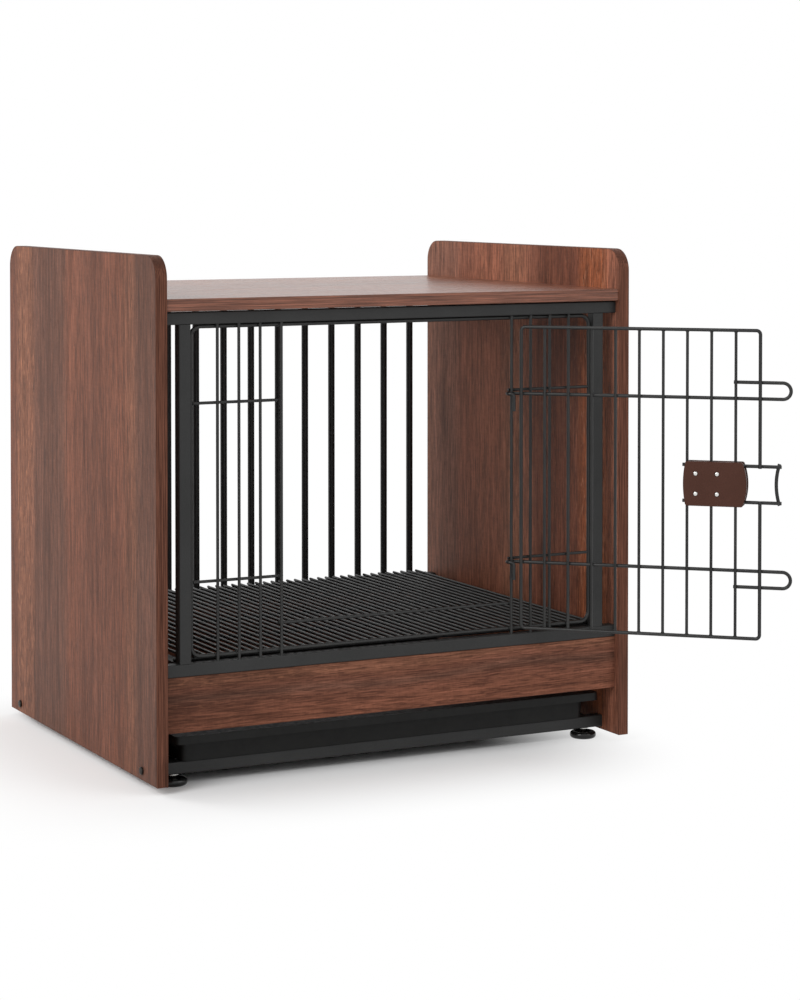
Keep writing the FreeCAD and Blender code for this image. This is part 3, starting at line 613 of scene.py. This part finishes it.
class Growth:
    # a geometry node tree with named inputs, baked to a plain mesh
    def __init__(self, name):
        self.group = bpy.data.node_groups.new(name, "GeometryNodeTree")
        self.values = {}
        for way in ("OUTPUT", "INPUT"):
            self.group.interface.new_socket("Geometry", in_out=way,
                                            socket_type="NodeSocketGeometry")
        self.start = self.group.nodes.new("NodeGroupInput")

    def input(self, label, kind, value):
        socket = self.group.interface.new_socket(label, in_out="INPUT",
                                                 socket_type="NodeSocket" + kind)
        self.values[socket.identifier] = value
        return self.start.outputs[label]

    def node(self, kind, values=None, **settings):
        if not kind.startswith(("Shader", "Function")):
            kind = "GeometryNode" + kind
        node = self.group.nodes.new(kind)
        for key, value in settings.items():
            setattr(node, key, value)
        for key, value in (values or {}).items():
            if isinstance(value, bpy.types.NodeSocket):
                self.group.links.new(value, node.inputs[key])
            else:
                node.inputs[key].default_value = value
        return node

    def math(self, operation, first, second):
        return self.node("ShaderNodeMath", {0: first, 1: second}, operation=operation).outputs[0]

    def joined(self, x, y, z):
        return self.node("ShaderNodeCombineXYZ", {0: x, 1: y, 2: z}).outputs[0]

    def lifted(self, geometry, height):
        return self.node("Transform", {"Geometry": geometry, "Translation":
                                       self.joined(0.0, 0.0, height)}).outputs[0]

    def attribute(self, label, kind):
        node = self.node("InputNamedAttribute", {"Name": label}, data_type=kind)
        return node.outputs["Attribute"]

    def random(self, low, high, seed):
        node = self.node("FunctionNodeRandomValue", {"Min": low, "Max": high, "Seed": seed},
                         data_type="FLOAT")
        return [out for out in node.outputs if out.enabled][0]

    def faced(self, values=None):
        # turns a copy's own Z to where its spot faces
        values = {"Vector": self.attribute("facing", "FLOAT_VECTOR"), **(values or {})}
        return self.node("FunctionNodeAlignRotationToVector", values, axis="Z").outputs[0]

    def copies(self, geometry, values=None):
        # one on each spot
        values = {"Points": self.start.outputs["Geometry"], "Instance": geometry,
                  **(values or {})}
        return self.node("InstanceOnPoints", values).outputs[0]

    def finish(self, geometry, material):
        real = self.node("RealizeInstances", {"Geometry": geometry}).outputs[0]
        smooth = self.node("SetShadeSmooth", {"Geometry": real}).outputs[0]
        painted = self.node("SetMaterial", {"Geometry": smooth, "Material": material}).outputs[0]
        end = self.group.nodes.new("NodeGroupOutput")
        self.group.links.new(painted, end.inputs["Geometry"])

    def bake(self, name, spots, body, replaced=()):
        holder = bpy.data.objects.new(name, spotMesh(name, spots))
        bpy.context.scene.collection.objects.link(holder)
        modifier = holder.modifiers.new("growth", "NODES")
        modifier.node_group = self.group
        for identifier, value in self.values.items():
            modifier[identifier] = value
        bpy.context.view_layer.update()
        graph = bpy.context.evaluated_depsgraph_get()
        baked = bpy.data.meshes.new_from_object(holder.evaluated_get(graph), depsgraph=graph)
        baked.name = name
        baked.set_sharp_from_angle(angle=math.radians(sharpAngle))
        holder.modifiers.remove(modifier)
        holder.data = baked
        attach(holder, body)
        if replaced:
            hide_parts(*replaced)


def spotMesh(name, spots):
    # a point for each spot of (place, facing, size)
    mesh = bpy.data.meshes.new(name)
    mesh.from_pydata([spot[0] for spot in spots], [], [])
    facing = mesh.attributes.new("facing", "FLOAT_VECTOR", "POINT")
    facing.data.foreach_set("vector", [part for spot in spots for part in spot[1]])
    size = mesh.attributes.new("size", "FLOAT", "POINT")
    size.data.foreach_set("value", [spot[2] for spot in spots])
    return mesh


beads = {
    "radius": 0.00215,       # of the flattened bead squeezed out where two wires are welded
    "thickness": 0.44,       # of the radius, each way from the plane where the wires touch
    "variation": 0.08,
    "seed": 4,
    "segments": 12,
    "rings": 7,
    "doorBars": (0.4574, 0.2433),   # heights of the door's cross wires
    "hingeGap": 0.01,        # no cross wire is welded this near to the hinge wire
}


def weldBeads(name, spots, body):
    growth = Growth(name)
    thickness = growth.input("Thickness", "Float", beads["thickness"])
    variation = growth.input("Variation", "Float", beads["variation"])
    seed = growth.input("Seed", "Int", beads["seed"])
    material = growth.input("Finish", "Material", finishes["wire"])
    ball = growth.node("MeshUVSphere", {"Segments": beads["segments"], "Rings": beads["rings"],
                                        "Radius": 1.0})
    flat = growth.node("Transform", {"Geometry": ball.outputs["Mesh"],
                                     "Scale": growth.joined(1.0, 1.0, thickness)})
    shrink = growth.random(growth.math("SUBTRACT", 1.0, variation), 1.0, seed)
    scale = growth.math("MULTIPLY", growth.attribute("size", "FLOAT"), shrink)
    copies = growth.copies(flat.outputs[0], {"Rotation": growth.faced(),
                                             "Scale": growth.joined(scale, scale, scale)})
    growth.finish(copies, material)
    growth.bake(name, spots, body)
    print(name + ":", len(spots))


rings = {
    "wireThickness": 0.0006,     # of the weld ring around a wire or bar that ends on a part
    "barThickness": 0.0010,
    "steps": 28,
    "roundSteps": 10,
}


def weldRings(name, spots, thickness, body):
    growth = Growth(name)
    thick = growth.input("Thickness", "Float", thickness)
    material = growth.input("Finish", "Material", finishes["wire"])
    share = growth.math("DIVIDE", thick, spots[0][2])
    path = growth.node("CurvePrimitiveCircle", {"Resolution": rings["steps"], "Radius": 1.0})
    profile = growth.node("CurvePrimitiveCircle", {"Resolution": rings["roundSteps"],
                                                   "Radius": share})
    ring = growth.node("CurveToMesh", {"Curve": path.outputs["Curve"],
                                       "Profile Curve": profile.outputs["Curve"]})
    scale = growth.attribute("size", "FLOAT")
    copies = growth.copies(ring.outputs[0], {"Rotation": growth.faced(),
                                             "Scale": growth.joined(scale, scale, scale)})
    growth.finish(copies, material)
    growth.bake(name, spots, body)
    print(name + ":", len(spots))


def crossings(uprights, levels, axes, plane, keep=lambda x: True):
    # spots where an upright wire and a level wire touch, in the plane between them
    spots = []
    for upright in uprights:
        for level in levels:
            x, z = middle(upright, 0), middle(level, 2)
            inside = level[0][0] < x < level[1][0] and upright[0][2] < z < upright[1][2]
            if inside and keep(x):
                spots.append((placed(axes, x, plane, z), axes[1], beads["radius"]))
    return spots


def bothEnds(boxes):
    # a spot at the foot and one at the top of each upright
    return [(Vector((middle(box, 0), middle(box, 1), z)), world[2], radius(box))
            for box in boxes for z in (box[0][2], box[1][2])]


def addCrateWelds():
    uprights = islands("left_fixed_uprights") + islands("right_fixed_uprights")
    hinge = min(middle(box, 0) for box in islands("right_fixed_uprights"))
    loop = islands("gate_loop_wire")[0]
    plane = loop[0][1]
    levels = runs(loop, loop[1][1] - loop[0][1])[1] + islands("sill_wire")
    spots = crossings(uprights, levels, world, plane)
    spots += crossings(uprights, islands("fixed_crossbars"), world, plane,
                       lambda x: abs(x - hinge) > beads["hingeGap"])

    rods = islands("floor_grille_rods")
    for bar in islands("floor_grille_crossbars"):
        face = bar[0][2] if middle(rods[0], 2) < middle(bar, 2) else bar[1][2]
        spots += [(Vector((middle(rod, 0), middle(bar, 1), face)), world[2], beads["radius"])
                  for rod in rods]
    weldBeads("weldBeads", spots, "crate")
    weldRings("uprightWelds", bothEnds(uprights), rings["wireThickness"], "crate")
    weldRings("barWelds", bothEnds(islands("rear_bars")), rings["barThickness"], "crate")


def addDoorWelds():
    uprights = islands("door_uprights", doorway)
    loop = islands("door_frame_wire", doorway)[0]
    wire = loop[1][1] - loop[0][1]
    bars = [[[loop[0][0], 0, z], [loop[1][0], 0, z]] for z in beads["doorBars"]]
    spots = crossings(uprights + runs(loop, wire)[0], bars, doorway, loop[0][1])
    weldBeads("doorWeldBeads", spots, "door")

    # some uprights stop at the latch instead of at the frame
    ends = [(placed(doorway, middle(box, 0), middle(box, 1), z), world[2], radius(box))
            for box in uprights for z in (loop[0][2] + wire, loop[1][2] - wire)
            if min(abs(box[0][2] - z), abs(box[1][2] - z)) < touching]
    weldRings("doorWelds", ends, rings["wireThickness"], "door")


addCrateWelds()
addDoorWelds()


def turned(name, profile, steps):
    # mesh of a profile of (radius, height) from its top on the axis to its foot on the axis
    verts = [(0, 0, profile[0][1])]
    for far, height in profile[1:-1]:
        for step in range(steps):
            angle = 2 * math.pi * step / steps
            verts.append((far * math.cos(angle), far * math.sin(angle), height))
    verts.append((0, 0, profile[-1][1]))
    faces = []
    rows = len(profile) - 2
    for step in range(steps):
        after = (step + 1) % steps
        faces.append((0, 1 + step, 1 + after))
        for row in range(rows - 1):
            top, foot = 1 + row * steps, 1 + (row + 1) * steps
            faces.append((top + step, foot + step, foot + after, top + after))
        foot = 1 + (rows - 1) * steps
        faces.append((foot + step, len(verts) - 1, foot + after))
    mesh = bpy.data.meshes.new(name)
    mesh.from_pydata(verts, [], faces)
    return mesh


screw = {
    "profile": [(0.0, 1.7), (1.2, 1.66), (2.0, 1.45), (2.55, 0.98), (2.82, 0.35), (2.82, 0.0),
                (1.48, 0.0), (1.48, -10.2), (0.7, -10.95), (0.0, -10.95)],      # millimetres
    "steps": 36,
    "recessLength": 0.0029,
    "recessWidth": 0.00066,
    "recessDepth": 0.0010,
    "recessSunk": 0.4,       # of the cutter's depth, from its middle down from the head's top
    "mostTurn": 3.1,
    "seed": 11,
}


def addLatchScrews():
    # pan heads with a cross recess, each turned its own way
    profile = [(far / 1000, height / 1000) for far, height in screw["profile"]]
    headTop = profile[0][1]
    shape = bpy.data.objects.new("screwShape", turned("screwShape", profile, screw["steps"]))
    growth = Growth("latchScrews")
    length = growth.input("Recess Length", "Float", screw["recessLength"])
    width = growth.input("Recess Width", "Float", screw["recessWidth"])
    depth = growth.input("Recess Depth", "Float", screw["recessDepth"])
    seed = growth.input("Seed", "Int", screw["seed"])
    material = growth.input("Finish", "Material", finishes["zinc"])
    source = growth.input("Shape", "Object", shape)
    body = growth.node("ObjectInfo", {"Object": source}).outputs["Geometry"]
    height = growth.math("SUBTRACT", headTop, growth.math("MULTIPLY", depth,
                                                          screw["recessSunk"]))
    cross = growth.node("MeshBoolean", operation="UNION", solver="EXACT")
    for size in (growth.joined(length, width, depth), growth.joined(width, length, depth)):
        bar = growth.node("MeshCube", {"Size": size}).outputs["Mesh"]
        growth.group.links.new(growth.lifted(bar, height), cross.inputs["Mesh 2"])
    cut = growth.node("MeshBoolean", {"Mesh 1": body, "Mesh 2": cross.outputs["Mesh"]},
                      operation="DIFFERENCE", solver="EXACT")
    roll = growth.random(0.0, screw["mostTurn"], seed)
    spin = growth.node("FunctionNodeEulerToRotation",
                       {"Euler": growth.joined(0.0, 0.0, roll)}).outputs[0]
    turn = growth.faced({"Rotation": spin})
    growth.finish(growth.copies(cut.outputs["Mesh"], {"Rotation": turn}), material)
    spots = [(placed(doorway, middle(box, 0), box[1][1] - headTop, middle(box, 2)),
              doorway[1], 1.0) for box in islands("latch_screws", doorway)]
    growth.bake("latchScrews", spots, "latch_slider", ["latch_screws"])
    bpy.data.objects.remove(shape)
    print("latch screws placed:", len(spots))


addLatchScrews()


stud = {
    "core": 0.00340,
    "crest": 0.00396,
    "pitch": 0.00125,
    "endGap": 0.0007,        # plain end before the thread starts
    "turnSteps": 28,
    "threadSides": 4,
    "rodSides": 40,
}


def addFootStud(corner):
    node = "foot_stud_" + corner
    label = "threadedStud" + corner.title().replace("_", "")
    box = islands(node)[0]
    growth = Growth(label)
    core = growth.input("Core Radius", "Float", stud["core"])
    crest = growth.input("Crest Radius", "Float", stud["crest"])
    pitch = growth.input("Pitch", "Float", stud["pitch"])
    tall = growth.input("Height", "Float", box[1][2] - box[0][2])
    material = growth.input("Finish", "Material", finishes["darkBolt"])
    rise = growth.math("SUBTRACT", tall, 2 * stud["endGap"])
    path = growth.node("CurveSpiral", {
        "Resolution": stud["turnSteps"], "Rotations": growth.math("DIVIDE", rise, pitch),
        "Start Radius": core, "End Radius": core, "Height": rise})
    profile = growth.node("CurvePrimitiveCircle", {
        "Resolution": stud["threadSides"], "Radius": growth.math("SUBTRACT", crest, core)})
    thread = growth.node("CurveToMesh", {
        "Curve": path.outputs[0], "Profile Curve": profile.outputs["Curve"],
        "Fill Caps": True})
    rod = growth.node("MeshCylinder", {"Vertices": stud["rodSides"], "Radius": core,
                                       "Depth": tall})
    both = growth.node("JoinGeometry")
    for part in (growth.lifted(thread.outputs[0], stud["endGap"]),
                 growth.lifted(rod.outputs["Mesh"], growth.math("MULTIPLY", tall, 0.5))):
        growth.group.links.new(part, both.inputs[0])
    growth.finish(growth.copies(both.outputs[0]), material)
    foot = Vector((middle(box, 0), middle(box, 1), box[0][2]))
    growth.bake(label, [(foot, world[2], 1.0)], "foot_" + corner, [node])


for corner in corners:
    addFootStud(corner)
print("foot studs threaded:", len(corners))


floor = {
    "half": 9.0,
    "colour": (0.96, 0.96, 0.96),
    "roughness": 0.9,
    "middle": (-0.11, -0.04, 0.0),
    "footprint": (0.25, 0.20, 0.0),  # half of the part of the floor that keeps its whole shadow
    "fadeStart": 0.00,               # metres from there to where the floor turns plain white
    "fadeEnd": 0.26,
}


def makeFloor():
    half = floor["half"]
    mesh = bpy.data.meshes.new("floor")
    mesh.from_pydata([(-half, -half, 0), (half, -half, 0), (half, half, 0), (-half, half, 0)],
                     [], [(0, 1, 2, 3)])
    holder = bpy.data.objects.new("floor", mesh)
    bpy.context.scene.collection.objects.link(holder)
    shader = Shader("floorPaint")
    shader.finish(colour=(*floor["colour"], 1), rough=floor["roughness"], specular=0.0)
    spot = shader.vector("ABSOLUTE", shader.vector("SUBTRACT", shader.place(), floor["middle"]))
    outside = shader.vector("MAXIMUM", shader.vector("SUBTRACT", spot, floor["footprint"]))
    fade = shader.add("ShaderNodeMapRange", interpolation_type="SMOOTHSTEP")
    fade.inputs["From Min"].default_value = floor["fadeStart"]
    fade.inputs["From Max"].default_value = floor["fadeEnd"]
    shader.give(shader.vector("LENGTH", outside), fade.inputs["Value"])
    white = shader.add("ShaderNodeEmission")
    white.inputs["Color"].default_value = (1, 1, 1, 1)
    mix = shader.add("ShaderNodeMixShader")
    seen = shader.math("MULTIPLY", fade.outputs["Result"], whiteRays(shader.tree))
    for source, socket in zip((seen, shader.surface.outputs[0], white.outputs[0]), mix.inputs):
        shader.give(source, socket)
    shader.give(mix.outputs[0], shader.tree.nodes["Material Output"].inputs["Surface"])
    mesh.materials.append(shader.material)


makeFloor()
print("floor laid")
